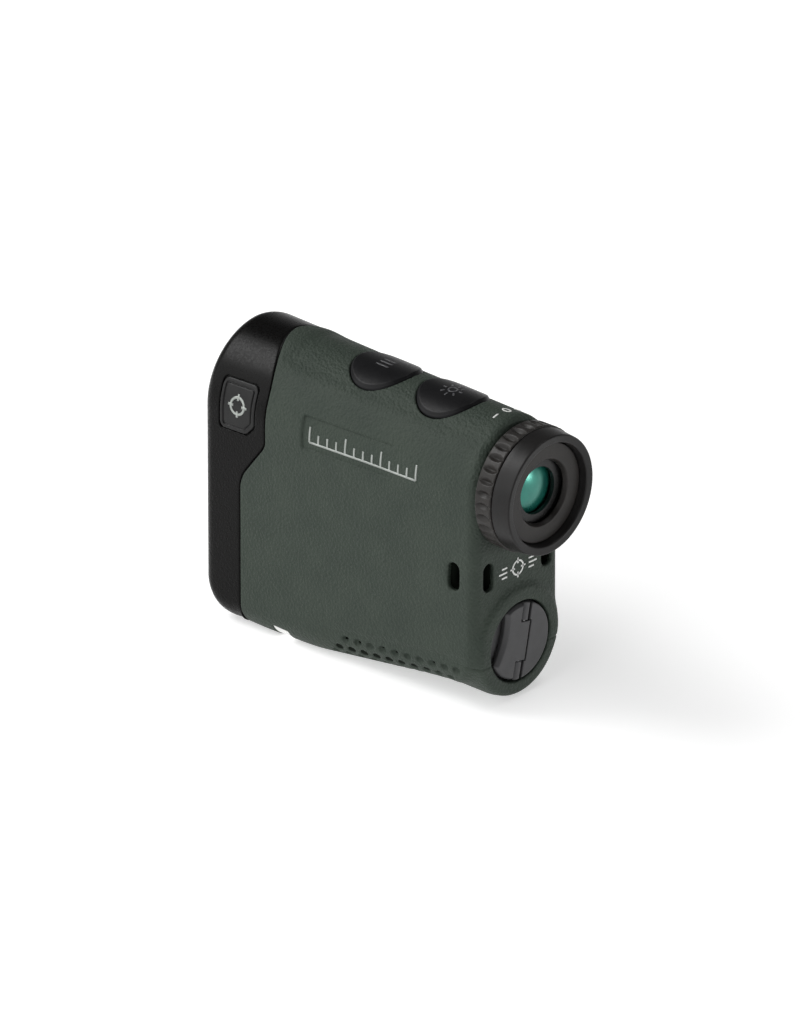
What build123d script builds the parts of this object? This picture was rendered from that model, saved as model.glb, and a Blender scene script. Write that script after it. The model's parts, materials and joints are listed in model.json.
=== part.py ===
from build123d import *
from math import cos, radians, sin, sqrt
import os

# Laser rangefinder. The objective end faces -Y, the eyepiece and battery cap face +Y, +Z is up.
# X = 0 is the mirror plane, Z = 0 the lowest point of the underside.

# ---- driving dimensions, mm ----
FRONT_Y = -48.25          # front face
RIM_Y = 48.25             # outermost plane of the eyecup's rim
REAR_Y = 37.9             # rear face of the armour
BOSS_Y = 38.9             # face of the boss round the battery cap
AXIS_Z = 55.4             # optical axis of objective and eyepiece
HALF_FRONT = 18.7         # half width at the front face
HALF_REAR = 14.8          # half width at the rear face
TOP_FRONT = 74.7          # crest height at the front face
TOP_REAR = 72.7           # crest height at the rear face
ARCH_FRONT = 19.0         # height of the arched roof over the sides, at the front face
ARCH_REAR = 17.5          # the same at the rear face
SHOULDER = (0.6, 0.45)    # how full the arch is near the sides and near the crest
SIDE_FLARE = 0.5          # the sides lean out by this much towards the underside
BELLY_FRONT_Z = 0.9       # underside height at the front, flat stretch and rear
BELLY_REAR_Z = 6.0
BELLY_FLAT_Y = (-30.0, -14.0)
NOSE_RADIUS = 10.0        # round between front face and underside, in side view
HEEL_RADIUS = 8.0         # round between underside and rear face
BELLY_RADIUS = 60.0       # soft bends of the underside, in side view
EDGE_RADIUS = 4.0         # round along every edge of the body
SKIN = 1.4                # armour and bezel thickness
WALL = 1.4                # housing thickness
BEZEL_DROP = 0.25         # the bezel lies this much below the armour
GASKET = 0.35             # dark joint between bezel and armour
GASKET_LIP = 0.5          # the gasket lies this much below the bezel's surface
JOINT_TOP = ((-42.0, 80.54), (-31.0, 71.3), (-28.2, 65.0))       # (Y, Z) corners of that joint
JOINT_LOW = ((-28.2, 50.4), (-36.2, 40.2), (-36.2, 3.2))
JOINT_RADII = (0, 14.0, 14.0, 4.0, 9.0, 6.0)
JOINT_FOOT_Y = -33.0
MOUTH_FLARE = 1.2         # the front openings widen by this much
OBJECTIVE_MOUTH = 9.9
EMITTER_MOUTH = 11.2

CELL_Z = AXIS_Z - 40.8    # axis of the battery and its cap
BULGE_RADIUS = 13.9       # round belly over the battery
BULGE_START_Y = 6.0
CAP_RADIUS = 9.95
CAP_HOLE_RADIUS = 10.35
CAP_FACE_Y = 39.2
CAP_SEAT_Y = 36.6
CAP_TURN = -11.5          # rest angle of the cap about its own axis, degrees
THREAD_RADIUS = 8.6
THREAD_CLEARANCE = 0.05
COLLAR_RADIUS = 10.3
COLLAR_START_Y = 30.0
COLLAR_LIP = 1.0          # depth of the collar's plain seat, in front of its thread
TUBE_END = 1.2            # thickness of the tube's closed end
BOSS_EDGE = 0.9
TUBE_RADIUS = 8.85
TUBE_BORE = 8.05
CELL_RADIUS = 7.8         # CR2 size cell, 15.6 mm across and 27 mm long
CELL_FRONT_Y = 1.0
CELL_LENGTH = 27.0
CELL_EDGE = 0.5
CELL_NUB = (3.0, 0.6)     # radius and height of the cell's raised pole
CONTACT_RADIUS = 6.0
CONTACT_SHEET = 0.3
PLUG_START_Y = 31.5       # front of the cap's threaded plug
PLUG_BORE = (7.0, 34.0)   # radius of the hollow for the contact carrier, and the Y it reaches
STEM_BORE = (1.5, 35.4)
CARRIER_Y = (32.0, 33.6)
CARRIER_RADIUS = 6.5
CARRIER_STEM = (1.45, 35.3)
SPRING_WIRE = 0.3         # wire radius
SPRING_RADIUS = 4.0
SPRING_TURNS = 3
SEAL = (8.0, 0.55)        # the cap's O-ring, centre line and wire radius
SEAL_SETBACK = 0.9
PIN_HALF = 8.6            # half length of the hinge pin
TAB_GAP = 0.12
NOTCH_RADIUS = 19.3       # finger notch in the tab
NOTCH_EDGE = 7.5
NOTCH_LEAN = 7.0          # degrees
HINGE_OFFSET = -0.65      # hinge axis beside the cap's centre
HINGE_Y = 38.2
PIN_RADIUS = 0.6
PIN_CLEARANCE = 0.05
TAB_BARREL = 2.0
KNUCKLE = 1.45
KNUCKLE_INNER = 5.15
TAB_FLOOR_Y = 37.1

BUTTON_RADIUS = 8.6
BUTTON_GAP = 0.2
BUTTON_BASE_Z = 68.6
BUTTON_Y = {"menu": -4.4, "measure": 17.0}
CUP_RADIUS = 9.7
CUP_FLOOR_Z = (66.5, 67.3)
MEMBRANE_TOP_Z = 67.7
SWITCH_HALF = 2.4
SWITCH_TOP_Z = 67.2
BUTTON_BOARD_Z = (64.2, 65.0)

EMITTER_Z = AXIS_Z - 30.5
OBJECTIVE_CELL = (11.4, 9.6)      # outer and inner radius
EMITTER_CELL = (12.4, 10.9)
CELL_END_Y = -34.0        # rear end of both lens cells
OBJECTIVE_EDGE = 8.9      # openings in the retaining rings
EMITTER_EDGE = 10.1
OBJECTIVE_SHELF = (8.8, -39.6)    # radius and start of the shelf behind each lens
EMITTER_SHELF = (9.6, -39.2)
OBJECTIVE_THICKNESS = 5.0
EMITTER_THICKNESS = 5.4
LENS_SETBACK = 1.6        # from the housing's front to the lens
RING_SETBACK = 0.3
RING_OVERLAP = 0.5
OUTER_BULGE = 0.9
LENS_BULGE = 0.8
EYE_BULGE = 0.5
LENS_GAP = 0.05
EMITTER_CONE = (          # (radius, Y) of the dark cone and the diode's seat
    (9.6, -34.5),
    (12.4, -34.5),
    (6.5, -15.0),
    (6.5, -12.0),
    (2.8, -12.0),
    (2.8, -14.0),
    (5.3, -14.0),
)
DIODE = ((2.8, -14.0, -11.5), (1.9, -16.5, -14.0))        # radius and limits of base and can
PRISM_HALF = 8.0
FRONT_PRISM_OUTLINE = ((-16.5, 46.2), (-7.2, 46.2), (-7.2, 50.0), (-16.5, 61.5))
REAR_PRISM_OUTLINE = ((-15.9, 62.0), (-6.9, 50.9), (4.5, 50.9), (4.5, 62.0))
BARREL_RADIUS = 11.0
BARREL_BORE = 9.65
BARREL_END_Y = 44.5
RING_CLEARANCE = 0.05
RING_GAP = 0.25           # end play behind the barrel
RING_EDGE = 0.35
RING_RADIUS = 15.6
RING_START_Y = 38.1
RING_END_Y = 43.0
SCALLOPS = 32             # finger grooves round the ring
SCALLOP_RADIUS = 1.4
SCALLOP_PITCH_RADIUS = 16.4
SCALLOP_LEAD = 0.8        # plain edge in front of the grooves
LENS_CELL_RADIUS = 9.6
LENS_CELL_Y = (36.0, 43.9)
EYE_LENS_RADIUS = 7.6
EYE_LENS_Y = (39.6, 42.7)
EYE_STOP = 6.6            # shelf in front of the eye lens
EYE_RING = 5.9            # opening of the ring behind it
EYECUP_SEAT_RADIUS = 12.9
BARREL_START_Y = 24.0
FLANGE_START_Y = 33.5
FLANGE_RADIUS = 11.2
FIELD_STOP = 9.0
O_RING_Y = (41.0, 42.2)
O_RING_BORE = 10.4
FIELD_LENS_Y = (27.0, 31.0)
DISPLAY_Y = (22.2, 24.0)
DISPLAY_RADII = (9.5, 4.5)
EYECUP_PROFILE = (        # (radius, Y) behind the ring
    (15.1, 44.2),
    (14.76, 47.5),
    (14.3, 48.1),
    (13.7, RIM_Y),
    (13.0, 48.05),
    (12.5, 47.5),
    (12.3, 45.0),
)
SOCKET_PROFILE = ((12.9, 45.0), (11.2, 45.0), (11.0, 46.3), (7.7, 46.1))

SLOT_Y = 31.2             # lanyard slot in the side
SLOT_X = 10.2             # lanyard slot in the rear face
SLOT_Z = 34.2
SLOT_WIDTH = 3.5
SLOT_HEIGHT = 7.2

BADGE_Y = (-41.2, -32.8)
BADGE_Z = (53.0, 63.0)
BADGE_CUT = 1.8           # the badge's cut corner
BADGE_CORNER = 0.6
BADGE_FRAME = 1.3         # width of the raised band round the badge
BADGE_DEPTH = 0.6         # depth of the pocket, and how far the plate sits below the bezel
BADGE_DROP = 0.3
LABEL_LIFT = 0.05         # the label stands this much above the armour
LABEL_Y = (-27.0, -20.5)
LABEL_X = (6.0, 18.5)
LABEL_TOP_Z = 4.6
PANEL_Y = (-16.3, 21.0)
PANEL_Z = (53.6, 61.3)
PANEL_DEPTH = 0.3
HOUSING_SCREWS = ((-33.5, 40.6), (25.5, 28.2), (-14.0, 9.0))
SCREW_RADIUS = 0.8
SCREW_HEAD = 1.6
BOSS_RADIUS = 2.4
BOARD_SCREWS = ((-12.0, 30.0), (14.0, 30.0))
BOARD_X = (-10.6, -9.6)
HOLDER_HALF = 9.0
HOLDER_Y = (-18.0, 6.0)
HOLDER_Z = (43.4, 64.2)
HOLDER_INLET = 7.0
HOLDER_OUTLET = 6.0
HOLDER_WALL = 3.0
RIB_Z = (54.0, 61.0)      # ribs that grip the prism holder
RIB = 2.0
SADDLE_Y = (8.0, 10.0)    # rib round the battery tube
BOARD_Y = (-20.0, 22.0)
BOARD_Z = (26.0, 52.0)
CHIPS = (((-10, 0), (32, 41), 0.5), ((4, 10), (34, 40), 0.4))    # limits in Y and Z, height
FLEX = 0.2
FLEX_Y = (9.0, 15.0)
FLEX_X = (-9.4, -5.0)
FLEX_END_Z = 46.0
SCREW_REACH = 8.0         # housing screws, from the mirror plane to the head's seat
SCREW_HEAD_HEIGHT = 1.0
SOCKET_RADIUS = 0.6
BOARD_SCREW_HEAD = (1.3, 0.8)     # radius and height
SWITCH_PLUNGER = (1.4, 0.5)
SWITCH_ROOM = 0.2
BUTTON_BOARD_HALF = 5.0
BUTTON_BOARD_Y = (-9.0, 22.0)
DETECTOR_HALF = 7.0
DETECTOR_Y = (-15.0, 3.0)
DETECTOR_Z = 42.4
FAR = 60.0                # larger than the object, for cutting blocks


# ---- shapes used throughout ----
def rod(radius, y0, y1, x=0.0, z=AXIS_Z):
    """Cylinder along Y."""
    return Pos(x, (y0 + y1) / 2, z) * Rot(90, 0, 0) * Cylinder(radius, y1 - y0)


def tube(outer, inner, y0, y1, z=AXIS_Z):
    return rod(outer, y0, y1, 0, z) - rod(inner, y0 - 1, y1 + 1, 0, z)


def post(radius, x, y, z0, z1):
    """Cylinder along Z."""
    return Pos(x, y, (z0 + z1) / 2) * Cylinder(radius, z1 - z0)


def cross_rod(radius, x0, x1, y, z):
    """Cylinder along X."""
    return Pos((x0 + x1) / 2, y, z) * Rot(0, 90, 0) * Cylinder(radius, x1 - x0)


def block(x, y, z):
    """Box between the pairs of limits x, y and z."""
    centre = Pos(sum(x) / 2, sum(y) / 2, sum(z) / 2)
    return centre * Box(x[1] - x[0], y[1] - y[0], z[1] - z[0])


def turned(points, z=AXIS_Z):
    """Solid of revolution about the Y direction at height z, from (radius, y) points."""
    with BuildSketch(Plane.XY.offset(z)) as face:
        with BuildLine():
            Polyline(*points, close=True)
        make_face()
    return revolve(face.sketch, Axis((0, 0, z), (0, 1, 0)))


def lens(radius, y0, y1, front, back, z=AXIS_Z):
    """Lens between y0 and y1 whose faces bulge by front and back from its edge."""
    half = radius / 2
    front_ball = (radius**2 + front**2) / (2 * front)
    back_ball = (radius**2 + back**2) / (2 * back)
    front_mid = y0 + front_ball - sqrt(front_ball**2 - half**2)
    back_mid = y1 - back_ball + sqrt(back_ball**2 - half**2)
    with BuildSketch(Plane.XY.offset(z)) as face:
        with BuildLine():
            Line((0, y0), (0, y1))
            ThreePointArc((0, y1), (half, back_mid), (radius, y1 - back))
            Line((radius, y1 - back), (radius, y0 + front))
            ThreePointArc((radius, y0 + front), (half, front_mid), (0, y0))
        make_face()
    return revolve(face.sketch, Axis((0, 0, z), (0, 1, 0)))


def side_extrusion(points, radii, x0, x1):
    """Closed outline in the Y-Z plane, extruded from x0 to x1."""
    with BuildSketch(Plane.YZ.offset(x0)) as face:
        with BuildLine():
            FilletPolyline(*points, radius=radii, close=True)
        make_face()
    return extrude(face.sketch, x1 - x0)


# ---- the body's form ----
def arch_section(y, inset):
    """Cross-section at y: slightly leaning sides under an arched roof, brought in by inset."""
    share = (y - FRONT_Y) / (REAR_Y - FRONT_Y)
    half = HALF_FRONT + (HALF_REAR - HALF_FRONT) * share - inset
    top = TOP_FRONT + (TOP_REAR - TOP_FRONT) * share - inset
    arch = ARCH_FRONT + (ARCH_REAR - ARCH_FRONT) * share - inset
    spring = top - arch
    shoulder = spring + SHOULDER[0] * arch
    handle = SHOULDER[1] * half
    foot = half + SIDE_FLARE * (spring + NOSE_RADIUS) / spring
    with BuildSketch(Plane.XZ.offset(-y)) as section:
        with BuildLine():
            Bezier((half, spring), (half, shoulder), (handle, top), (0, top))
            Bezier((0, top), (-handle, top), (-half, shoulder), (-half, spring))
            Polyline((-half, spring), (-foot, -NOSE_RADIUS), (foot, -NOSE_RADIUS), (half, spring))
        make_face()
    return section.sketch


def body_form(inset):
    """The body's rounded outer form, brought in by inset on every side."""
    front, rear = FRONT_Y + inset, REAR_Y - inset
    prism = loft([arch_section(front, inset), arch_section(rear, inset)], ruled=True)
    outline = [
        (front, 2 * FAR),
        (front, BELLY_FRONT_Z + inset),
        (BELLY_FLAT_Y[0], inset),
        (BELLY_FLAT_Y[1], inset),
        (rear, BELLY_REAR_Z + inset),
        (rear, 2 * FAR),
    ]
    radii = [0, NOSE_RADIUS - inset, BELLY_RADIUS, BELLY_RADIUS, HEEL_RADIUS - inset, 0]
    shape = prism & side_extrusion(outline, radii, -FAR, FAR)
    seam_length = 80.0
    rim = [e for e in shape.edges() if abs(e.center().X) > 1 and e.length < seam_length]
    return fillet(rim, EDGE_RADIUS - inset)


def bulge(inset, rear):
    """The round belly over the battery, with a rounded front end."""
    part = rod(BULGE_RADIUS - inset, BULGE_START_Y + inset, rear, 0, CELL_Z)
    nose = part.edges().group_by(Axis.Y)[0]
    return fillet(nose, BULGE_RADIUS / 2)


def boundary(shift):
    """Everything in front of the joint between bezel and armour, moved back by shift."""
    corners = [(y + shift, z) for y, z in JOINT_TOP + JOINT_LOW]
    above = [(-FAR, 2 * FAR), (corners[0][0], 2 * FAR)]
    below = [(JOINT_FOOT_Y + shift, -FAR), (-FAR, -FAR)]
    return side_extrusion(above + corners + below, [0, 0, *JOINT_RADII, 0, 0], -FAR, FAR)


OUTER = body_form(0) + bulge(0, REAR_Y)
UNDER_SKIN = body_form(SKIN) + bulge(SKIN, REAR_Y - SKIN)
INSIDE = body_form(SKIN + WALL) + bulge(SKIN + WALL, REAR_Y - SKIN - WALL)
HOUSING_REAR_Y = REAR_Y - SKIN
INSIDE_REAR_Y = HOUSING_REAR_Y - WALL
HOUSING_FRONT_Y = FRONT_Y + SKIN


def both_sides(part):
    return part + mirror(part, Plane.YZ)


def lanyard_tunnel(margin):
    """Slot through the side that turns the corner and leaves by the rear face, grown by margin."""
    half_width = SLOT_WIDTH / 2 + margin
    half_height = SLOT_HEIGHT / 2 + margin
    z = (SLOT_Z - half_height, SLOT_Z + half_height)
    inner_x = SLOT_X - half_width
    inner_y = SLOT_Y - half_width
    side = block((inner_x, FAR), (inner_y, SLOT_Y + half_width), z)
    rear = block((inner_x, SLOT_X + half_width), (inner_y, FAR), z)
    if margin == 0:
        ends_side = [e for e in side.edges() if abs(abs(e.tangent_at(0).X) - 1) < 0.1]
        ends_rear = [e for e in rear.edges() if abs(abs(e.tangent_at(0).Y) - 1) < 0.1]
        side = fillet(ends_side, half_width - 0.05)
        rear = fillet(ends_rear, half_width - 0.05)
    return side + rear


TUNNELS = both_sides(lanyard_tunnel(0))
BUTTON_WELLS = Part() + [
    post(BUTTON_RADIUS + BUTTON_GAP, 0, y, CUP_FLOOR_Z[1], FAR * 2) for y in BUTTON_Y.values()
]


# ---- covers ----
def front_bezel():
    zone = boundary(0)
    shell = (body_form(BEZEL_DROP) & zone) - body_form(SKIN)
    face = block((-FAR, FAR), (FRONT_Y + BEZEL_DROP, HOUSING_FRONT_Y), (-FAR, 2 * FAR))
    plate = extrude((shell & face).faces().sort_by(Axis.Y)[0], BEZEL_DROP)
    shell = shell + plate
    for z, radius in ((AXIS_Z, OBJECTIVE_MOUTH), (EMITTER_Z, EMITTER_MOUTH)):
        mouth = turned(
            [
                (0, FRONT_Y - 1),
                (radius + MOUTH_FLARE, FRONT_Y - 1),
                (radius + MOUTH_FLARE, FRONT_Y),
                (radius, HOUSING_FRONT_Y),
                (radius, HOUSING_FRONT_Y + 1),
                (0, HOUSING_FRONT_Y + 1),
            ],
            z,
        )
        shell = shell - mouth
    return shell - both_sides(badge_solid(BADGE_FRAME, BADGE_DEPTH))


def badge_solid(grow, depth):
    """Badge outline with one cut corner, between the bezel's surface and depth below it."""
    y = (BADGE_Y[0] - grow, BADGE_Y[1] + grow)
    z = (BADGE_Z[0] - grow, BADGE_Z[1] + grow)
    outline = [
        (y[0], z[0]),
        (y[1] - BADGE_CUT, z[0]),
        (y[1], z[0] + BADGE_CUT),
        (y[1], z[1]),
        (y[0], z[1]),
    ]
    plate = side_extrusion(outline, [BADGE_CORNER] * len(outline), 0, FAR)
    return (plate & body_form(BEZEL_DROP)) - body_form(BEZEL_DROP + depth)


def bezel_badges():
    above = body_form(BEZEL_DROP) - body_form(BEZEL_DROP + BADGE_DROP)
    plate = badge_solid(0, BADGE_DEPTH) - above
    return both_sides(plate)


def bezel_gasket():
    ring = boundary(GASKET) - boundary(0)
    return (body_form(BEZEL_DROP + GASKET_LIP) - body_form(SKIN)) & ring


def armour_sleeve():
    boss = rod(BULGE_RADIUS, REAR_Y - SKIN, BOSS_Y, 0, CELL_Z)
    boss = fillet(boss.edges().sort_by(Axis.Y)[-1], BOSS_EDGE)
    sleeve = (OUTER + boss) - UNDER_SKIN - boundary(GASKET)
    sleeve = sleeve - rod(CAP_HOLE_RADIUS, COLLAR_START_Y, FAR, 0, CELL_Z)
    sleeve = sleeve - rod(EYECUP_SEAT_RADIUS, COLLAR_START_Y, FAR)
    sleeve = sleeve - TUNNELS - BUTTON_WELLS - label_solid(0, PANEL_DEPTH)
    panel = block((0, FAR), PANEL_Y, PANEL_Z) & (OUTER - body_form(PANEL_DEPTH))
    return sleeve - both_sides(panel)


def label_solid(above, below):
    patch = block(LABEL_X, LABEL_Y, (-1, LABEL_TOP_Z))
    return (patch & body_form(above)) - body_form(below)


def housing():
    shell = UNDER_SKIN - INSIDE
    cups = [post(CUP_RADIUS, 0, y, CUP_FLOOR_Z[0], 2 * FAR) for y in BUTTON_Y.values()]
    inner = [both_sides(lanyard_tunnel(WALL))]
    inner += [cross_rod(BOSS_RADIUS, -FAR, FAR, y, z) for y, z in HOUSING_SCREWS]
    inner += [tube(BULGE_RADIUS, TUBE_RADIUS, *SADDLE_Y, CELL_Z)]
    for y in (HOLDER_Y[0] + 1, HOLDER_Y[1] - HOLDER_WALL):
        inner += [both_sides(block((HOLDER_HALF, FAR), (y, y + RIB), RIB_Z))]
    inner += [cross_rod(BOSS_RADIUS * 0.75, -FAR, BOARD_X[0], y, z) for y, z in BOARD_SCREWS]
    for part in cups + inner:
        shell = shell + (part & UNDER_SKIN)
    shell = shell - TUNNELS - BUTTON_WELLS
    room = SWITCH_HALF + SWITCH_ROOM
    for y in BUTTON_Y.values():
        floor = (CUP_FLOOR_Z[0] - 1, CUP_FLOOR_Z[1] + 1)
        shell = shell - block((-room, room), (y - room, y + room), floor)
    shell = shell - rod(OBJECTIVE_CELL[0], -FAR, HOLDER_Y[0] - 4)
    shell = shell - rod(EMITTER_CELL[0], -FAR, HOLDER_Y[0] - 4, 0, EMITTER_Z)
    shell = shell - rod(BARREL_RADIUS, INSIDE_REAR_Y - 1, FAR)
    shell = shell - rod(COLLAR_RADIUS, INSIDE_REAR_Y - 1, FAR, 0, CELL_Z)
    for y, z in HOUSING_SCREWS:
        shell = shell - cross_rod(SCREW_RADIUS, -FAR, SCREW_REACH, y, z)
        shell = shell - cross_rod(SCREW_HEAD + 0.1, -FAR, -SCREW_REACH, y, z)
    for y, z in BOARD_SCREWS:
        shell = shell - cross_rod(SCREW_RADIUS, BOARD_X[0] - 2, 0, y, z)
    return shell


# ---- optics at the front ----
def cell_parts(z, cell, lens_edge, depth):
    """Lens, and retaining ring behind the bezel, for a cell of the given outer and inner radius."""
    seat = HOUSING_FRONT_Y + LENS_SETBACK
    glass = lens(cell[1], seat, seat + depth, OUTER_BULGE, OUTER_BULGE, z)
    ring = tube(cell[1], lens_edge, HOUSING_FRONT_Y + RING_SETBACK, seat + RING_OVERLAP, z) - glass
    return glass, ring


def objective_cell():
    barrel = tube(*OBJECTIVE_CELL, HOUSING_FRONT_Y, CELL_END_Y)
    shelf = tube(OBJECTIVE_CELL[0], *OBJECTIVE_SHELF, CELL_END_Y)
    return barrel + (shelf - OBJECTIVE_LENS)


def emitter_tube():
    wide = tube(*EMITTER_CELL, HOUSING_FRONT_Y, CELL_END_Y, EMITTER_Z)
    shelf = tube(EMITTER_CELL[0], *EMITTER_SHELF, CELL_END_Y, EMITTER_Z) - EMITTER_LENS
    cone = turned(EMITTER_CONE, EMITTER_Z)
    return wide + shelf + cone


def prism_pair():
    """Two prisms with a thin air gap; light enters at the front face and leaves at the rear."""
    sharp = [0, 0, 0, 0]
    front = side_extrusion(FRONT_PRISM_OUTLINE, sharp, -PRISM_HALF, PRISM_HALF)
    rear = side_extrusion(REAR_PRISM_OUTLINE, sharp, -PRISM_HALF, PRISM_HALF)
    return front, rear


def prism_holder():
    frame = block((-HOLDER_HALF, HOLDER_HALF), HOLDER_Y, HOLDER_Z)
    frame = frame - rod(HOLDER_INLET, HOLDER_Y[0] - 1, HOLDER_Y[0] + HOLDER_WALL)
    frame = frame - rod(HOLDER_OUTLET, HOLDER_Y[1] - HOLDER_WALL, HOLDER_Y[1] + 1, 0, AXIS_Z + 1)
    for prism in prism_pair():
        frame = frame - prism
    return frame


# ---- electronics ----
def main_board():
    board = block(BOARD_X, BOARD_Y, BOARD_Z)
    for y, z, height in CHIPS:
        board = board + block((BOARD_X[1], BOARD_X[1] + height), y, z)
    for y, z in BOARD_SCREWS:
        board = board - cross_rod(SCREW_RADIUS, BOARD_X[0] - 1, BOARD_X[1] + 1, y, z)
    return board


def board_screws():
    parts = []
    for y, z in BOARD_SCREWS:
        shank = cross_rod(SCREW_RADIUS, BOARD_X[0] - 2, BOARD_X[1], y, z)
        head = cross_rod(BOARD_SCREW_HEAD[0], BOARD_X[1], BOARD_X[1] + BOARD_SCREW_HEAD[1], y, z)
        parts.append(shank + head)
    return Part() + parts


def housing_screws():
    parts = []
    for y, z in HOUSING_SCREWS:
        top = -SCREW_REACH - SCREW_HEAD_HEIGHT
        shank = cross_rod(SCREW_RADIUS, -SCREW_REACH, SCREW_REACH, y, z)
        head = cross_rod(SCREW_HEAD, top, -SCREW_REACH, y, z)
        socket = cross_rod(SOCKET_RADIUS, top - 1, top + SCREW_HEAD_HEIGHT / 2, y, z)
        parts.append(shank + head - socket)
    return Part() + parts


def flex_cable():
    top = block(FLEX_X, FLEX_Y, (BUTTON_BOARD_Z[0] - FLEX, BUTTON_BOARD_Z[0]))
    drop = block((BOARD_X[1], BOARD_X[1] + FLEX), FLEX_Y, (FLEX_END_Z, BUTTON_BOARD_Z[0]))
    return top + drop


def tact_switch(y):
    radius, height = SWITCH_PLUNGER
    top = SWITCH_TOP_Z - height
    base = block((-SWITCH_HALF, SWITCH_HALF), (y - SWITCH_HALF, y + SWITCH_HALF),
                 (BUTTON_BOARD_Z[1], top))
    return base + post(radius, 0, y, top, SWITCH_TOP_Z)


def button(y):
    """Push button whose top follows the deck's arch."""
    stem = post(BUTTON_RADIUS, 0, y, BUTTON_BASE_Z, 2 * FAR)
    return stem & body_form(0)


def membranes():
    parts = [post(BUTTON_RADIUS, 0, y, CUP_FLOOR_Z[1], MEMBRANE_TOP_Z) for y in BUTTON_Y.values()]
    return Part() + parts


# ---- eyepiece ----
def eyepiece_barrel():
    body = tube(BARREL_RADIUS, BARREL_BORE, FLANGE_START_Y, BARREL_END_Y)
    flange = tube(FLANGE_RADIUS, BARREL_BORE, FLANGE_START_Y, INSIDE_REAR_Y)
    front = tube(BARREL_RADIUS, FIELD_STOP, BARREL_START_Y, FLANGE_START_Y)
    groove = tube(BARREL_RADIUS + 1, O_RING_BORE, *O_RING_Y)
    return body + flange + front - groove


def dioptre_ring():
    bore = BARREL_RADIUS + RING_CLEARANCE
    shelf_y = BARREL_END_Y + RING_GAP
    ring = turned(
        [
            (bore, RING_START_Y),
            (RING_RADIUS - RING_EDGE, RING_START_Y),
            (RING_RADIUS, RING_START_Y + RING_EDGE),
            (RING_RADIUS, RING_END_Y - RING_EDGE),
            (RING_RADIUS - RING_EDGE, RING_END_Y),
            (EYECUP_SEAT_RADIUS, RING_END_Y),
            *SOCKET_PROFILE,
            (SOCKET_PROFILE[-1][0], shelf_y),
            (bore, shelf_y),
        ]
    )
    for i in range(SCALLOPS):
        angle = radians(360 / SCALLOPS * i)
        x = SCALLOP_PITCH_RADIUS * sin(angle)
        z = AXIS_Z + SCALLOP_PITCH_RADIUS * cos(angle)
        ring = ring - rod(SCALLOP_RADIUS, RING_START_Y + SCALLOP_LEAD, RING_END_Y + 1, x, z)
    return ring


def eyecup():
    start = RING_END_Y + RING_CLEARANCE
    outer = EYECUP_PROFILE[0][0]
    seat = (EYECUP_SEAT_RADIUS, EYECUP_PROFILE[-1][1])
    return turned([(EYECUP_SEAT_RADIUS, start), (outer, start), *EYECUP_PROFILE, seat])


def lens_cell():
    body = tube(LENS_CELL_RADIUS, EYE_LENS_RADIUS, *LENS_CELL_Y)
    return body + tube(LENS_CELL_RADIUS, EYE_STOP, LENS_CELL_Y[0], EYE_LENS_Y[0] - LENS_GAP)


# ---- battery, cap and flip-up tab ----
def battery_tube():
    thread_start = COLLAR_START_Y + COLLAR_LIP
    body = tube(TUBE_RADIUS, TUBE_BORE, 0, thread_start, CELL_Z)
    end = rod(TUBE_RADIUS, -TUBE_END, 0, 0, CELL_Z)
    collar = rod(COLLAR_RADIUS, COLLAR_START_Y, HOUSING_REAR_Y, 0, CELL_Z)
    collar = collar - rod(TUBE_BORE, COLLAR_START_Y - 1, thread_start, 0, CELL_Z)
    bore = THREAD_RADIUS + THREAD_CLEARANCE
    return body + end + collar - rod(bore, thread_start, FAR, 0, CELL_Z)


def battery():
    shoulder = CELL_FRONT_Y + CELL_NUB[1]
    can = rod(CELL_RADIUS, shoulder, CELL_FRONT_Y + CELL_LENGTH, 0, CELL_Z)
    can = fillet(can.edges(), CELL_EDGE)
    return can + rod(CELL_NUB[0], CELL_FRONT_Y, shoulder + CELL_EDGE, 0, CELL_Z)


def front_contact():
    plate = rod(CONTACT_RADIUS, 0, CONTACT_SHEET, 0, CELL_Z)
    return plate + rod(CONTACT_RADIUS / 3, 0, CELL_FRONT_Y, 0, CELL_Z)


def on_cap(part):
    """Places a part drawn in the cap's own frame: centre at 0, hinge line along Z."""
    return Pos(0, 0, CELL_Z) * Rot(0, CAP_TURN, 0) * part


def hinge_rod(radius, z0, z1):
    return Pos(HINGE_OFFSET, HINGE_Y, (z0 + z1) / 2) * Cylinder(radius, z1 - z0)


def finger_notch():
    cutter = rod(NOTCH_RADIUS, TAB_FLOOR_Y - 1, FAR, NOTCH_EDGE + NOTCH_RADIUS, 0)
    return Rot(0, -NOTCH_LEAN, 0) * cutter


def cap_body():
    disc = rod(CAP_RADIUS, CAP_SEAT_Y, CAP_FACE_Y, 0, 0)
    plug = rod(THREAD_RADIUS, PLUG_START_Y, CAP_SEAT_Y, 0, 0)
    fixed_edge = HINGE_OFFSET + KNUCKLE
    pocket = block((fixed_edge, FAR), (TAB_FLOOR_Y, FAR), (-FAR, FAR))
    middle = block((HINGE_OFFSET, FAR), (TAB_FLOOR_Y, FAR), (-KNUCKLE_INNER, KNUCKLE_INNER))
    relief = hinge_rod(TAB_BARREL + 0.1, -KNUCKLE_INNER, KNUCKLE_INNER)
    above_axis = block((HINGE_OFFSET, FAR), (HINGE_Y, FAR), (-FAR, FAR))
    rounding = above_axis - hinge_rod(KNUCKLE, -FAR, FAR)
    body = disc + plug - pocket - middle - relief - rounding
    body = body - hinge_rod(PIN_RADIUS, -PIN_HALF, PIN_HALF)
    for radius, depth in (PLUG_BORE, STEM_BORE):
        body = body - rod(radius, PLUG_START_Y - 1, depth, 0, 0)
    return on_cap(body) - cap_o_ring()


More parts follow.
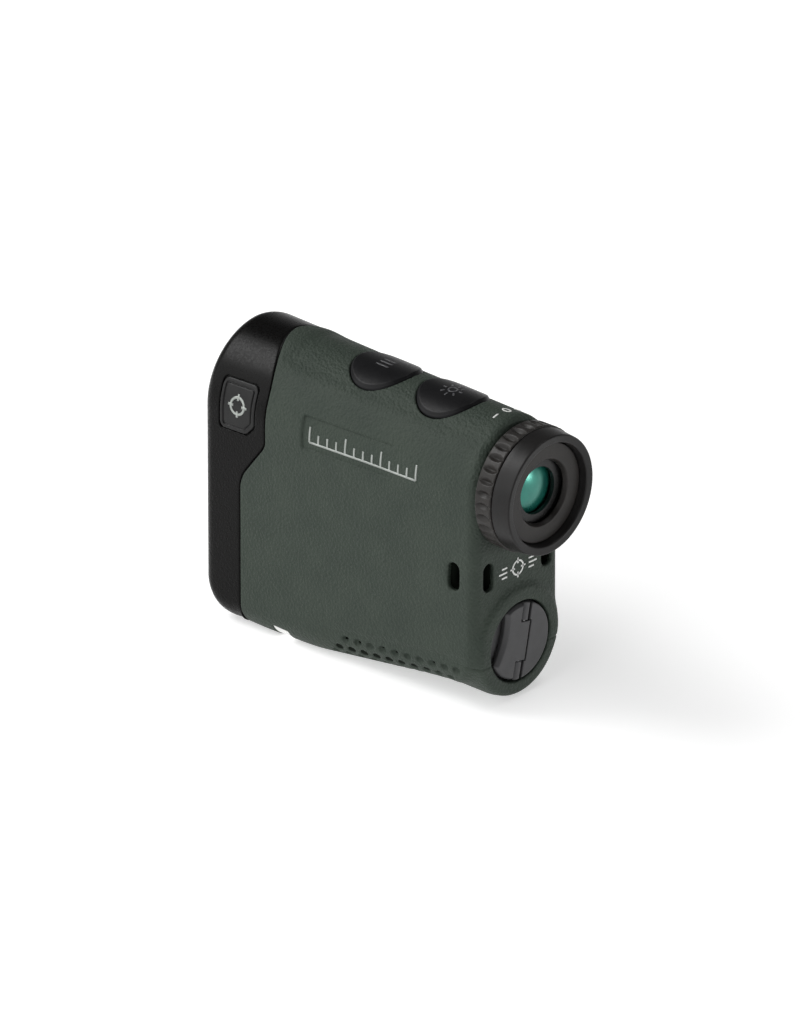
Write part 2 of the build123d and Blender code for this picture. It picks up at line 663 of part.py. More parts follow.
def cap_tab():
    thickness = (TAB_FLOOR_Y + 0.1, CAP_FACE_Y)
    disc = rod(CAP_RADIUS - 0.1, *thickness, 0, 0)
    wing = disc & block((HINGE_OFFSET + KNUCKLE + TAB_GAP, FAR), thickness, (-FAR, FAR))
    inner = KNUCKLE_INNER - TAB_GAP
    centre = block((HINGE_OFFSET, HINGE_OFFSET + 2 * KNUCKLE), thickness, (-inner, inner))
    barrel = hinge_rod(TAB_BARREL, -inner, inner) & block((-FAR, HINGE_OFFSET), thickness, (-FAR, FAR))
    tab = wing + centre + barrel - finger_notch()
    return on_cap(tab - hinge_rod(PIN_RADIUS + PIN_CLEARANCE, -FAR, FAR))


def cap_o_ring():
    return Pos(0, CAP_SEAT_Y - SEAL_SETBACK, CELL_Z) * Rot(90, 0, 0) * Torus(*SEAL)


def contact_carrier():
    disc = rod(CARRIER_RADIUS, *CARRIER_Y, 0, CELL_Z)
    return disc + rod(CARRIER_STEM[0], CARRIER_Y[0], CARRIER_STEM[1], 0, CELL_Z)


def contact_spring():
    start = CELL_FRONT_Y + CELL_LENGTH + SPRING_WIRE
    height = CARRIER_Y[0] - SPRING_WIRE - start
    path = Helix(pitch=height / SPRING_TURNS, height=height, radius=SPRING_RADIUS)
    profile = Plane(path @ 0, z_dir=path % 0) * Circle(SPRING_WIRE)
    coil = sweep(profile, path, is_frenet=True)
    return Pos(0, start, CELL_Z) * Rot(-90, 0, 0) * coil


OBJECTIVE_LENS, OBJECTIVE_RING = cell_parts(
    AXIS_Z, OBJECTIVE_CELL, OBJECTIVE_EDGE, OBJECTIVE_THICKNESS
)
EMITTER_LENS, EMITTER_RING = cell_parts(
    EMITTER_Z, EMITTER_CELL, EMITTER_EDGE, EMITTER_THICKNESS
)
FRONT_PRISM, REAR_PRISM = prism_pair()
HOUSING = housing()
LEFT_HALF = block((0, FAR), (-FAR, FAR), (-FAR, 2 * FAR))

PARTS = {
    "front_bezel": front_bezel(),
    "bezel_badges": bezel_badges(),
    "bezel_gasket": bezel_gasket(),
    "armour_sleeve": armour_sleeve(),
    "belly_label": label_solid(LABEL_LIFT, PANEL_DEPTH),
    "housing_left": HOUSING & LEFT_HALF,
    "housing_right": HOUSING - LEFT_HALF,
    "housing_screws": housing_screws(),
    "objective_cell": objective_cell(),
    "objective_lens": OBJECTIVE_LENS,
    "objective_ring": OBJECTIVE_RING,
    "emitter_tube": emitter_tube(),
    "emitter_lens": EMITTER_LENS,
    "emitter_ring": EMITTER_RING,
    "laser_diode": rod(*DIODE[0], 0, EMITTER_Z) + rod(*DIODE[1], 0, EMITTER_Z),
    "prism_holder": prism_holder(),
    "front_prism": FRONT_PRISM,
    "roof_prism": REAR_PRISM,
    "detector_board": block((-DETECTOR_HALF, DETECTOR_HALF), DETECTOR_Y, (DETECTOR_Z, HOLDER_Z[0])),
    "display_module": tube(*DISPLAY_RADII, *DISPLAY_Y),
    "main_board": main_board(),
    "board_screws": board_screws(),
    "button_board": block((-BUTTON_BOARD_HALF, BUTTON_BOARD_HALF), BUTTON_BOARD_Y, BUTTON_BOARD_Z),
    "flex_cable": flex_cable(),
    "menu_switch": tact_switch(BUTTON_Y["menu"]),
    "measure_switch": tact_switch(BUTTON_Y["measure"]),
    "button_membranes": membranes(),
    "menu_button": button(BUTTON_Y["menu"]),
    "measure_button": button(BUTTON_Y["measure"]),
    "eyepiece_barrel": eyepiece_barrel(),
    "field_lens": lens(FIELD_STOP, *FIELD_LENS_Y, LENS_BULGE, LENS_BULGE),
    "eyepiece_o_ring": tube(BARREL_RADIUS, O_RING_BORE, *O_RING_Y),
    "dioptre_ring": dioptre_ring(),
    "eyecup": eyecup(),
    "lens_cell": lens_cell(),
    "eye_lens": lens(EYE_LENS_RADIUS, *EYE_LENS_Y, EYE_BULGE, LENS_BULGE),
    "lens_cell_ring": tube(EYE_LENS_RADIUS, EYE_RING, EYE_LENS_Y[1] + LENS_GAP, LENS_CELL_Y[1]),
    "battery_tube": battery_tube(),
    "battery": battery(),
    "front_contact": front_contact(),
    "contact_carrier": contact_carrier(),
    "contact_spring": contact_spring(),
    "cap_body": cap_body(),
    "cap_o_ring": cap_o_ring(),
    "tab_pin": on_cap(hinge_rod(PIN_RADIUS, -PIN_HALF, PIN_HALF)),
    "cap_tab": cap_tab(),
}

os.makedirs("parts", exist_ok=True)
for name, part in PARTS.items():
    export_step(part, f"parts/{name}.step")
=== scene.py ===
import json
from math import acos, atan2, cos, pi, radians, sin, tan

import bmesh
import bpy
import numpy as np
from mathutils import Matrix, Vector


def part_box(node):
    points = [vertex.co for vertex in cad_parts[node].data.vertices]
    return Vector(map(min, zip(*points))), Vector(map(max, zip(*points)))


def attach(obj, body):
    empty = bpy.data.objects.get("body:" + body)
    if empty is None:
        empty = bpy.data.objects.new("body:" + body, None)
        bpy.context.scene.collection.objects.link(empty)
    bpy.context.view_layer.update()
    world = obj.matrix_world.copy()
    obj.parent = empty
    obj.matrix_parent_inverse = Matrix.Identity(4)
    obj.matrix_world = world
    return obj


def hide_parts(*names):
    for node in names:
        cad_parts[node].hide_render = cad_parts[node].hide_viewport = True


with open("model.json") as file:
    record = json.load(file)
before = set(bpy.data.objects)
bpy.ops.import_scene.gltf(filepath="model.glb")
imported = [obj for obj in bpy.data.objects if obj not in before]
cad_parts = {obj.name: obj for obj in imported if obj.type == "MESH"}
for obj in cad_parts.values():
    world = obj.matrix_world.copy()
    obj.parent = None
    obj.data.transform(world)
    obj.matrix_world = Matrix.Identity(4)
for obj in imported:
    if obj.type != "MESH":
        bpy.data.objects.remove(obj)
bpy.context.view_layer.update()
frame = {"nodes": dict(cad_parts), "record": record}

import openvdb
from mathutils import Vector

MM = 0.001                # the frame is in metres, the sizes below are in millimetres


# ---- sizes, taken from the frame where it has them ----
def low_high(node):
    """The two corners of the node's box, in millimetres."""
    low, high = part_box(node)
    return np.array(low) / MM, np.array(high) / MM


def middle(node):
    """The centre of the node's box, in millimetres."""
    low, high = low_high(node)
    return (low + high) / 2


AXIS_Z = middle("objective_lens")[2]        # optical axis
EMITTER_Z = middle("emitter_lens")[2]
CELL_Z = middle("battery")[2]               # battery and cap axis
FRONT_Y = low_high("front_bezel")[0][1]
RIM_Y = low_high("eyecup")[1][1]
BOSS_Y = low_high("armour_sleeve")[1][1]    # face of the boss round the cap
REAR_Y = BOSS_Y - 1.0                       # rear face of the armour
BUTTON_Y = {n: middle(n + "_button")[1] for n in ("menu", "measure")}
BUTTON_RADIUS = (low_high("menu_button")[1][0] - low_high("menu_button")[0][0]) / 2
BUTTON_BASE_Z = low_high("menu_button")[0][2]
HALF_FRONT, HALF_REAR = 18.65, 14.8         # half width at the front and rear faces
TOP_FRONT, TOP_REAR = 74.7, 72.7            # crest height
ARCH_FRONT, ARCH_REAR = 19.0, 17.5          # height of the arched roof
SIDE_FLARE = 0.5                            # the sides lean out by this much towards the underside
ROOF_POWER, ROOF_SOFT = 1.85, 0.005         # how the roof falls away from the crest
NOSE_RADIUS, HEEL_RADIUS = 10.0, 8.0        # rounds of the underside, in side view
BELLY_FLAT = (-30.0, -14.0)                 # flat stretch of the underside
BELLY_SLOPE = (0.0493, 0.1156)              # how the underside rises ahead of it and behind it
BELLY_BEND = (2.0, 3.5)                     # half length of the soft bends between them
EDGE_FRONT, EDGE_REAR = (3.6, 3.0), (2.9, 2.6)      # edge radius, and what it gains low down
EDGE_LOW_Z = (22, 10)                       # heights over which it gains that
EDGE_LOW_Y = ((-46, -36), (37, 28))         # and where that fades out at both ends
EDGE_REAR_Y = (20, 34)                      # change from the front's radius to the rear's
BULGE_RADIUS, BULGE_START = 13.9, 6.0       # round belly over the battery
BULGE_EDGE, BOSS_EDGE = 2.9, 1.3
SKIN = 1.4
HOUSING_EDGE, LEAST_SKIN = 4.0, 0.12        # the armour keeps this much over the housing
BEZEL_DROP = 0.25
BEZEL_END_Y, ARMOUR_START_Y = -27.5, -37.0
GASKET = 0.35
JOINT = (                                   # (Y, Z) corners of the joint between bezel and armour
    (-42.0, 80.54),
    (-31.0, 71.3),
    (-28.2, 65.0),
    (-28.2, 50.4),
    (-36.2, 40.2),
    (-36.2, 3.2),
)
JOINT_RADII = (0, 14, 14, 4, 9, 6)
JOINT_FOOT_Y = -33.0
FAR = 150.0                                 # well outside the object
SKIN_TOLERANCE = 0.004                      # how much the meshing may merge flat faces
OBJECTIVE_MOUTH, EMITTER_MOUTH, MOUTH_FLARE = 9.9, 11.2, 1.2
DECK_DROP = 0.55                            # the deck lies this far below the buttons' crest
DECK_Y, DECK_X = (-30.5, -26.0), (12.0, 8.5)        # where it sets in, and where it ends sideways
DECK_Z = (56, 62)
WELL_RADIUS, WELL_FLOOR_Z = BUTTON_RADIUS + 0.2, 60
SEAT_RADIUS = 12.9                          # opening for the eyepiece
CAP_HOLE = 10.35
OPENING_DEPTH_Y = 28                        # how far forward the rear openings are cut
SLOT_Y, SLOT_X, SLOT_Z = 31.2, 10.2, 34.2   # lanyard slots
SLOT_HALF = (1.75, 3.6)
BADGE_Y, BADGE_Z = (-41.2, -32.8), (53.0, 63.0)
BADGE_POCKET, BADGE_BAND = 1.5, 1.24        # how far the pocket and the raised band reach past it
BADGE_DEPTH, BADGE_BACK = 0.6, 0.56         # levels below the bezel's face
BADGE_GROOVE, BADGE_DROP = 0.34, 0.10
PANEL_Y, PANEL_Z = (-16.3, 21.0), (53.4, 61.8)
PANEL_DEPTH, PANEL_CORNER = 0.5, 0.7
PANEL_FADE_Y = 2.0                          # the panel fades out from here to its rear end
PANEL_RIM = (0.22, 0.45, 8.0)               # depth, half width and fading Y of the line round it
LABEL_Y, LABEL_TOP = (-26.2, -21.2), 3.9    # the label's upper edge slopes down to the rear
LABEL_SLOPE = 0.1
LABEL_INNER = 5.8
LABEL_DEPTH = 0.33
LABEL_MARGIN, FILM_HALF = 0.25, 0.12
CREASE = (10.8, 0.117)                      # height of the scoop's upper edge at Y = 0, and its rise
SCOOP_DEPTH = 0.4
DIMPLE_STARTS = ((-2.5, 7.2), (-5.2, 4.2), (-7.0, 2.2))     # first (Y, Z) of each row
DIMPLE_COUNT, DIMPLE_PITCH, DIMPLE_RISE = 10, 3.86, 0.077
DIMPLE_RADII, DIMPLE_PROUD = (0.9, 1.25, 0.95), 0.1
PARTING = (11.6, -0.02)                     # height of the parting line at the cap, and its slope
PARTING_DEPTH, PARTING_HALF = 0.28, 0.42
MARK_Z = 33.6                               # centre of the mark on the rear face
DIOPTRE_Y = 32.8                            # line of the dioptre marks


# ---- implicit shapes: a field is below zero inside the shape and measures about 1 per mm ----
def grid(low, high, step):
    """Axes of a sparse grid with a margin of three steps."""
    axes = [np.arange(a - 3 * step, b + 4 * step, step, dtype=np.float32) for a, b in zip(low, high)]
    return np.meshgrid(*axes, indexing="ij", sparse=True)


def both(a, b, radius):
    """Where a and b overlap, with the edge between their surfaces rounded."""
    corner = np.hypot(np.maximum(a + radius, 0), np.maximum(b + radius, 0))
    return np.minimum(np.maximum(a, b), -radius) + corner


def joined(a, b, blend):
    """a and b together, with a soft fillet between them."""
    near = np.maximum(blend - np.abs(a - b), 0) / blend
    return np.minimum(a, b) - near * near * blend / 4


def ramp(x, start, end):
    """Smooth step from 0 at start to 1 at end."""
    t = np.clip((x - start) / (end - start), 0, 1)
    return t * t * (3 - 2 * t)


def soft_rise(x, width):
    """0 left of zero, x right of it, with a rounded change over width."""
    return np.where(np.abs(x) < width, (x + width) ** 2 / (4 * width), np.maximum(x, 0))


def rounded(points, radii, steps=6):
    """Closed outline with rounded corners."""
    out = []
    for i, radius in enumerate(radii):
        p, a, b = (np.array(points[k % len(points)], float) for k in (i, i - 1, i + 1))
        if radius == 0:
            out.append(p)
            continue
        u, v = (a - p) / np.linalg.norm(a - p), (b - p) / np.linalg.norm(b - p)
        half = acos(np.clip(u @ v, -1, 1)) / 2
        hub = p + (u + v) / np.linalg.norm(u + v) * radius / sin(half)
        first, last = p + u * radius / tan(half) - hub, p + v * radius / tan(half) - hub
        start, end = atan2(first[1], first[0]), atan2(last[1], last[0])
        turn = (end - start + pi) % (2 * pi) - pi
        for k in range(steps + 1):
            angle = start + turn * k / steps
            out.append(hub + radius * np.array((cos(angle), sin(angle))))
    return np.array(out)


def outline_field(points, u, v):
    """Signed distance to a closed outline in a plane."""
    shape = np.broadcast(u, v).shape
    best, inside = np.full(shape, 1e9, np.float32), np.zeros(shape, bool)
    for (u0, v0), (u1, v1) in zip(points, np.roll(points, -1, axis=0)):
        du, dv = u1 - u0, v1 - v0
        if du == dv == 0:
            continue
        t = np.clip(((u - u0) * du + (v - v0) * dv) / (du * du + dv * dv), 0, 1)
        best = np.minimum(best, (u - u0 - t * du) ** 2 + (v - v0 - t * dv) ** 2)
        if dv:
            inside ^= ((v0 > v) != (v1 > v)) & (u < u0 + (v - v0) * du / dv)
    return np.where(inside, -1, 1) * np.sqrt(best)


def obround(u, v, half_width, half_height):
    """Slot with round ends, its long side along v."""
    return np.hypot(u, np.maximum(np.abs(v) - half_height + half_width, 0)) - half_width


# ---- the body's form ----
def section(y):
    """Half width, arch height and the height at which the arch springs, at y."""
    share = (y - FRONT_Y) / (REAR_Y - FRONT_Y)
    half = HALF_FRONT + (HALF_REAR - HALF_FRONT) * share
    arch = ARCH_FRONT + (ARCH_REAR - ARCH_FRONT) * share
    return half, arch, TOP_FRONT + (TOP_REAR - TOP_FRONT) * share - arch


def underside(y):
    """Height of the underside."""
    ahead = BELLY_SLOPE[0] * soft_rise(BELLY_FLAT[0] - y, BELLY_BEND[0])
    return ahead + BELLY_SLOPE[1] * soft_rise(y - BELLY_FLAT[1], BELLY_BEND[1])


def roof_fall(share):
    """Fall of the roof as a share of the arch's height, at a share of the half width."""
    power = ROOF_POWER / 2
    low = ROOF_SOFT**power
    return ((share * share + ROOF_SOFT) ** power - low) / ((1 + ROOF_SOFT) ** power - low)


def roof_reach(fall):
    """The share of the half width at which the roof has fallen that far."""
    power = ROOF_POWER / 2
    low = ROOF_SOFT**power
    return np.sqrt((fall * ((1 + ROOF_SOFT) ** power - low) + low) ** (1 / power) - ROOF_SOFT)


def walls(x, y, z):
    """Slightly leaning sides under an arched roof."""
    half, arch, spring = section(y)
    wide = half + SIDE_FLARE * np.maximum(1 - z / spring, 0)
    up, share = np.maximum(z - spring, 0) / arch, np.abs(x) / wide
    across = ROOF_POWER * share * (share * share + ROOF_SOFT) ** (ROOF_POWER / 2 - 1) / wide
    steep = np.hypot(across, 2 * up / arch)
    least_steep = 0.02
    return (roof_fall(share) + up * up - 1) / np.maximum(steep, least_steep)


def body_field(x, y, z, front=FRONT_Y, edge=None):
    """The whole body without the bulge. Its edges are larger low down unless edge gives one radius."""
    bottom = underside(y) - z
    ends = both(both(front - y, bottom, NOSE_RADIUS), y - REAR_Y, HEEL_RADIUS)
    if edge is None:
        low = ramp(z, *EDGE_LOW_Z) * ramp(y, *EDGE_LOW_Y[0]) * ramp(y, *EDGE_LOW_Y[1])
        rear = ramp(y, *EDGE_REAR_Y)
        at_front, at_rear = (radius + gain * low for radius, gain in (EDGE_FRONT, EDGE_REAR))
        edge = at_front * (1 - rear) + at_rear * rear
    return both(walls(x, y, z), ends, edge)


def battery_bulge(x, y, z, end, edge):
    """Round belly over the battery, up to the plane Y = end."""
    barrel = np.hypot(x, z - CELL_Z) - BULGE_RADIUS
    return both(both(barrel, BULGE_START - y, BULGE_RADIUS / 2), y - end, edge)


def bezel_zone(y, z):
    """Below zero ahead of the joint between bezel and armour."""
    points = [(-FAR, FAR), (JOINT[0][0], FAR), *JOINT, (JOINT_FOOT_Y, -FAR), (-FAR, -FAR)]
    return outline_field(rounded(points, [0, 0, *JOINT_RADII, 0, 0]), y, z)


def side_x(y, z, inset=0.0):
    """Distance of the side's surface from the mirror plane."""
    half, arch, spring = section(y)
    up = min(max(z - spring, 0) / arch, 1)
    return (half + SIDE_FLARE * max(1 - z / spring, 0)) * roof_reach(1 - up * up) - inset


def crest_z(x, y, inset=0.0):
    """Height of the arched roof above the point (x, y)."""
    half, arch, spring = section(y)
    return spring + arch * (1 - roof_fall(min(abs(x) / half, 1))) ** 0.5 - inset


def deck_drop(x, y):
    """How far the deck between the buttons lies below the roof's own curve."""
    return DECK_DROP * ramp(y, *DECK_Y) * ramp(np.abs(x), *DECK_X)


# ---- meshes ----
def add_mesh(name, points, faces):
    """Links a closed mesh, its faces turned outwards, from points in millimetres."""
    mesh = bpy.data.meshes.new(name)
    mesh.from_pydata(np.asarray(points, float) * MM, [], faces)
    work = bmesh.new()
    work.from_mesh(mesh)
    bmesh.ops.remove_doubles(work, verts=work.verts, dist=1e-7)
    bmesh.ops.dissolve_degenerate(work, edges=work.edges, dist=1e-8)
    bmesh.ops.recalc_face_normals(work, faces=work.faces)
    if work.calc_volume(signed=True) < 0:
        bmesh.ops.reverse_faces(work, faces=work.faces)
    work.to_mesh(mesh)
    work.free()
    mesh.shade_smooth()
    piece = bpy.data.objects.new(name, mesh)
    bpy.context.scene.collection.objects.link(piece)
    return piece


def skin_mesh(name, field, axes, step, place=None):
    """Closed mesh of the surface where the field is zero."""
    band = 3 * step
    volume = openvdb.FloatGrid(band)
    volume.copyFromArray(np.clip(field, -band, band).astype(np.float32))
    points, triangles, quads = volume.convertToPolygons(isovalue=0.0, adaptivity=SKIN_TOLERANCE)
    points = points * step + np.array([a.ravel()[0] for a in axes])
    if place:
        points = place(points)
    return add_mesh(name, points, triangles.tolist() + quads.tolist())


def dense(points, spacing):
    """A closed outline with points no further apart than spacing."""
    out = []
    for a, b in zip(points, np.roll(points, -1, axis=0)):
        n = max(1, int(np.ceil(np.linalg.norm(b - a) / spacing)))
        out += [a + (b - a) * k / n for k in range(n)]
    return np.array(out)


def lathe(name, outline, z, segments, reshape=None):
    """Closed outline of (radius, y) points spun about the Y direction at height z."""
    radius, y = outline[:, :1], outline[:, 1:]
    angle = np.arange(segments)[None, :] * 2 * pi / segments
    radius, y = np.broadcast_arrays(radius, y)[0] + 0 * angle, y + 0 * angle
    if reshape:
        radius = reshape(radius, y, angle)
    points = np.stack([radius * np.sin(angle), y, z + radius * np.cos(angle)], -1).reshape(-1, 3)
    n = len(outline)
    faces = [
        (i * segments + k, i * segments + (k + 1) % segments,
         (i + 1) % n * segments + (k + 1) % segments, (i + 1) % n * segments + k)
        for i in range(n) for k in range(segments)
    ]
    return add_mesh(name, points, faces)


def strokes(name, paths, width, place, rise=0.07):
    """Thin printed lines. A path is (closed, points in the plane); place gives a point and its normal."""
    points, faces = [], []
    for closed, path in paths:
        path = np.array(path, float)
        n, first = len(path), len(points)
        for i, p in enumerate(path):
            back = path[i - 1] if closed or i else p
            ahead = path[(i + 1) % n] if closed or i < n - 1 else p
            along = (ahead - back) / np.linalg.norm(ahead - back)
            across = np.array((-along[1], along[0])) * width / 2
            for q in (p + across, p - across):
                at, normal = place(*q)
                points += [at + normal * rise, at - normal * rise]
        for i in range(n if closed else n - 1):
            a, b = first + 4 * i, first + 4 * ((i + 1) % n)
            faces += [(a, b, b + 2, a + 2), (a + 1, a + 3, b + 3, b + 1),
                      (a, a + 1, b + 1, b), (a + 2, b + 2, b + 3, a + 3)]
        if not closed:
            last = first + 4 * (n - 1)
            faces += [(first, first + 2, first + 3, first + 1), (last, last + 1, last + 3, last + 2)]
    return add_mesh(name, points, faces)


def line(a, b, pieces=6):
    """An open straight path."""
    return False, [np.array(a) + (np.array(b) - np.array(a)) * k / pieces for k in range(pieces + 1)]


def ring(centre, radius, squash=1.0):
    """A closed circle, or an oval stretched along the second axis."""
    count = 36
    angles = [radians(360.0 * k / count) for k in range(count)]
    return True, [(centre[0] + radius * cos(a), centre[1] + radius * squash * sin(a)) for a in angles]


# ---- materials ----
def shader(name, roughness, **sockets):
    """A material, its node tree and its Principled shader. Spaces in socket names are underscores."""
    mat = bpy.data.materials.new(name)
    mat.use_nodes = True
    bsdf = mat.node_tree.nodes["Principled BSDF"]
    bsdf.inputs["Roughness"].default_value = roughness
    for key, value in sockets.items():
        bsdf.inputs[key.replace("_", " ")].default_value = value
    return mat, mat.node_tree, bsdf


def add_node(tree, kind, links=(), **values):
    """A new node with its links, and with its properties or sockets set."""
    node = tree.nodes.new(kind)
    for key, value in values.items():
        if hasattr(node, key):
            setattr(node, key, value)
        else:
            node.inputs[key.replace("_", " ")].default_value = value
    for socket, source in dict(links).items():
        tree.links.new(source, node.inputs[socket])
    return node


def finish_of(name, colour, shade, roughness, grain, depth, patch=6.0, spread=0.08, pebble=0.0,
              region=None, **sockets):
    """Moulded material: fine grain in its bump, uneven roughness and slow colour change.

    grain and patch are feature sizes in mm, depth the grain's height in mm. pebble adds rounded
    cells of that size. region (low, high, fade) keeps the grain to a band of heights."""
    mat, tree, bsdf = shader(name, roughness, **sockets)
    links = tree.links
    at = add_node(tree, "ShaderNodeTexCoord").outputs["Object"]
    slow = add_node(tree, "ShaderNodeTexNoise", {"Vector": at}, Scale=1 / (patch * MM), Detail=4.0)
    fine = add_node(tree, "ShaderNodeTexNoise", {"Vector": at}, Scale=1 / (grain * MM), Detail=3.0)
    tint = add_node(tree, "ShaderNodeValToRGB", {"Fac": slow.outputs["Fac"]})
    tint.color_ramp.elements[0].position, tint.color_ramp.elements[1].position = 0.3, 0.7
    tint.color_ramp.elements[0].color = (*shade, 1)
    tint.color_ramp.elements[1].color = (*colour, 1)
    links.new(tint.outputs["Color"], bsdf.inputs["Base Color"])
    rough = add_node(tree, "ShaderNodeMapRange", {"Value": fine.outputs["Fac"]}, From_Min=0.3,
                     From_Max=0.7, To_Min=max(roughness - spread, 0.02), To_Max=roughness + spread)
    links.new(rough.outputs["Result"], bsdf.inputs["Roughness"])
    height = fine.outputs["Fac"]
    if pebble:
        cells = add_node(tree, "ShaderNodeTexVoronoi", {"Vector": at}, Scale=1 / (pebble * MM),
                         feature="SMOOTH_F1", Smoothness=0.6)
        dome = add_node(tree, "ShaderNodeMapRange", {"Value": cells.outputs["Distance"]},
                        From_Min=0.0, From_Max=0.8, To_Min=1.0, To_Max=0.0)
        height = add_node(tree, "ShaderNodeMath", {0: dome.outputs["Result"], 1: height},
                          operation="ADD").outputs["Value"]
    if region:
        z = add_node(tree, "ShaderNodeSeparateXYZ", {"Vector": at}).outputs["Z"]
        fade = add_node(tree, "ShaderNodeMapRange", {"Value": z}, From_Min=region[0] * MM,
                        From_Max=region[1] * MM, To_Min=1.0, To_Max=region[2])
        height = add_node(tree, "ShaderNodeMath", {0: height, 1: fade.outputs["Result"]},
                          operation="MULTIPLY").outputs["Value"]
    bump = add_node(tree, "ShaderNodeBump", {"Height": height}, Distance=depth * MM, Strength=1.0)
    links.new(bump.outputs["Normal"], bsdf.inputs["Normal"])
    return mat


MATERIALS = {
    "green_armour": finish_of("green_armour", (0.034, 0.046, 0.035), (0.027, 0.038, 0.029), 0.58, 0.35,
                              0.16, patch=9.0, pebble=0.75, Specular_IOR_Level=0.25),
    "bezel_plastic": finish_of("bezel_plastic", (0.0040, 0.0039, 0.0037), (0.0030, 0.0029, 0.0028), 0.3,
                               0.55, 0.12, patch=12.0, region=(61, 66, 0.04), Specular_IOR_Level=0.10),
    "badge_plastic": finish_of("badge_plastic", (0.009, 0.009, 0.009), (0.006, 0.006, 0.006), 0.38, 0.3,
                               0.03, Specular_IOR_Level=0.25),
    "black_rubber": finish_of("black_rubber", (0.002, 0.002, 0.002), (0.001, 0.001, 0.001), 0.8, 0.3,
                              0.02, Specular_IOR_Level=0.1),
    "label": finish_of("label", (0.82, 0.82, 0.80), (0.72, 0.72, 0.71), 0.35, 0.6, 0.005, patch=1.0),
    "housing_plastic": finish_of("housing_plastic", (0.008, 0.011, 0.008), (0.005, 0.007, 0.005), 0.8,
                                 0.3, 0.02, Specular_IOR_Level=0.05),
    "steel": finish_of("steel", (0.55, 0.55, 0.55), (0.42, 0.42, 0.43), 0.3, 0.25, 0.006, Metallic=1.0),
    "black_aluminium": finish_of("black_aluminium", (0.010, 0.010, 0.010), (0.007, 0.007, 0.007), 0.34,
                                 0.2, 0.006, Specular_IOR_Level=0.3),
    "clear_glass": finish_of("clear_glass", (0.85, 0.95, 0.93), (0.78, 0.92, 0.89), 0.05, 2.0, 0.0005,
                             spread=0.02, Transmission_Weight=0.9, IOR=1.52),
    "inner_plastic": finish_of("inner_plastic", (0.006, 0.006, 0.006), (0.004, 0.004, 0.004), 0.6, 0.3,
                               0.02, Specular_IOR_Level=0.2),
    "brass": finish_of("brass", (0.70, 0.50, 0.22), (0.55, 0.38, 0.16), 0.28, 0.3, 0.005, Metallic=1.0),
    "circuit_board": finish_of("circuit_board", (0.010, 0.10, 0.035), (0.006, 0.07, 0.025), 0.4, 0.4,
                               0.03, patch=2.0),
    "flex_film": finish_of("flex_film", (0.55, 0.22, 0.04), (0.42, 0.16, 0.03), 0.25, 0.5, 0.005,
                           patch=2.0),
    "switch_plastic": finish_of("switch_plastic", (0.02, 0.02, 0.02), (0.014, 0.014, 0.014), 0.3, 0.3,
                                0.01),
    "button_plastic": finish_of("button_plastic", (0.0090, 0.0090, 0.0098), (0.0070, 0.0070, 0.0076), 0.36,
                                0.3, 0.02, patch=5.0, Specular_IOR_Level=0.14),
    "ring_plastic": finish_of("ring_plastic", (0.022, 0.020, 0.018), (0.017, 0.015, 0.014), 0.42, 0.25,
                              0.02, patch=5.0, Specular_IOR_Level=0.25),
    "eyecup_rubber": finish_of("eyecup_rubber", (0.0125, 0.0118, 0.0116), (0.0095, 0.0090, 0.0088), 0.38,
                               0.25, 0.012, patch=6.0, Specular_IOR_Level=0.22),
    "battery_wrap": finish_of("battery_wrap", (0.04, 0.05, 0.06), (0.03, 0.035, 0.04), 0.25, 0.5, 0.004),
    "contact_metal": finish_of("contact_metal", (0.62, 0.60, 0.56), (0.5, 0.48, 0.45), 0.25, 0.2, 0.004,
                               Metallic=1.0),
    "cap_plastic": finish_of("cap_plastic", (0.056, 0.056, 0.058), (0.046, 0.046, 0.048), 0.4, 0.25,
                             0.015, patch=4.0, Specular_IOR_Level=0.35),
    "mark_silver": finish_of("mark_silver", (0.36, 0.38, 0.36), (0.28, 0.30, 0.28), 0.35, 0.2, 0.005,
                             patch=2.0, Metallic=0.3),
    "mark_white": finish_of("mark_white", (0.80, 0.81, 0.79), (0.70, 0.71, 0.69), 0.5, 0.2, 0.005,
                            patch=1.0),
    "mark_grey": finish_of("mark_grey", (0.07, 0.07, 0.075), (0.05, 0.05, 0.055), 0.4, 0.2, 0.01,
                           patch=1.0),
    "coated_glass": finish_of("coated_glass", (0.016, 0.230, 0.170), (0.008, 0.160, 0.125), 0.3, 3.0,
                              0.0004, patch=5.0, spread=0.03, Metallic=0.6, Coat_Weight=0.6,
                              Coat_Roughness=0.26, Coat_IOR=1.5),
}


def dress(piece, material, body=None, stands_for=()):
    """Gives a piece its material and body, and hides the CAD nodes it stands for."""
    piece.data.materials.clear()
    piece.data.materials.append(MATERIALS[material])
    if body:
        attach(piece, body)
    if stands_for:
        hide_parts(*stands_for)
    return piece


# ---- armour ----
def label_zone(y, z):
    """Below zero where the label lies on the underside's edge."""
    ends = np.maximum(LABEL_Y[0] - y, y - LABEL_Y[1])
    return both(ends, z - LABEL_TOP + LABEL_SLOPE * (y - LABEL_Y[0]), 0.3)


def label():
    """Film label in its recess."""
    step = 0.1
    axes = grid((LABEL_INNER, LABEL_Y[0], 0), (HALF_FRONT, LABEL_Y[1], LABEL_TOP), step)
    x, y, z = axes
    film = np.abs(body_field(x, y, z) + LABEL_DEPTH) - FILM_HALF
    border = np.maximum(label_zone(y, z) + LABEL_MARGIN, LABEL_INNER + LABEL_MARGIN - x)
    film = both(film, border, 0.05)
    piece = skin_mesh("underside_label", film, axes, step)
    dress(piece, "label", "body", ["belly_label"])


def dimple_places():
    """(Y, Z) of each grip dimple."""
    for y, z in DIMPLE_STARTS:
        for k in range(DIMPLE_COUNT):
            yield y + k * DIMPLE_PITCH, z + DIMPLE_RISE * k * DIMPLE_PITCH


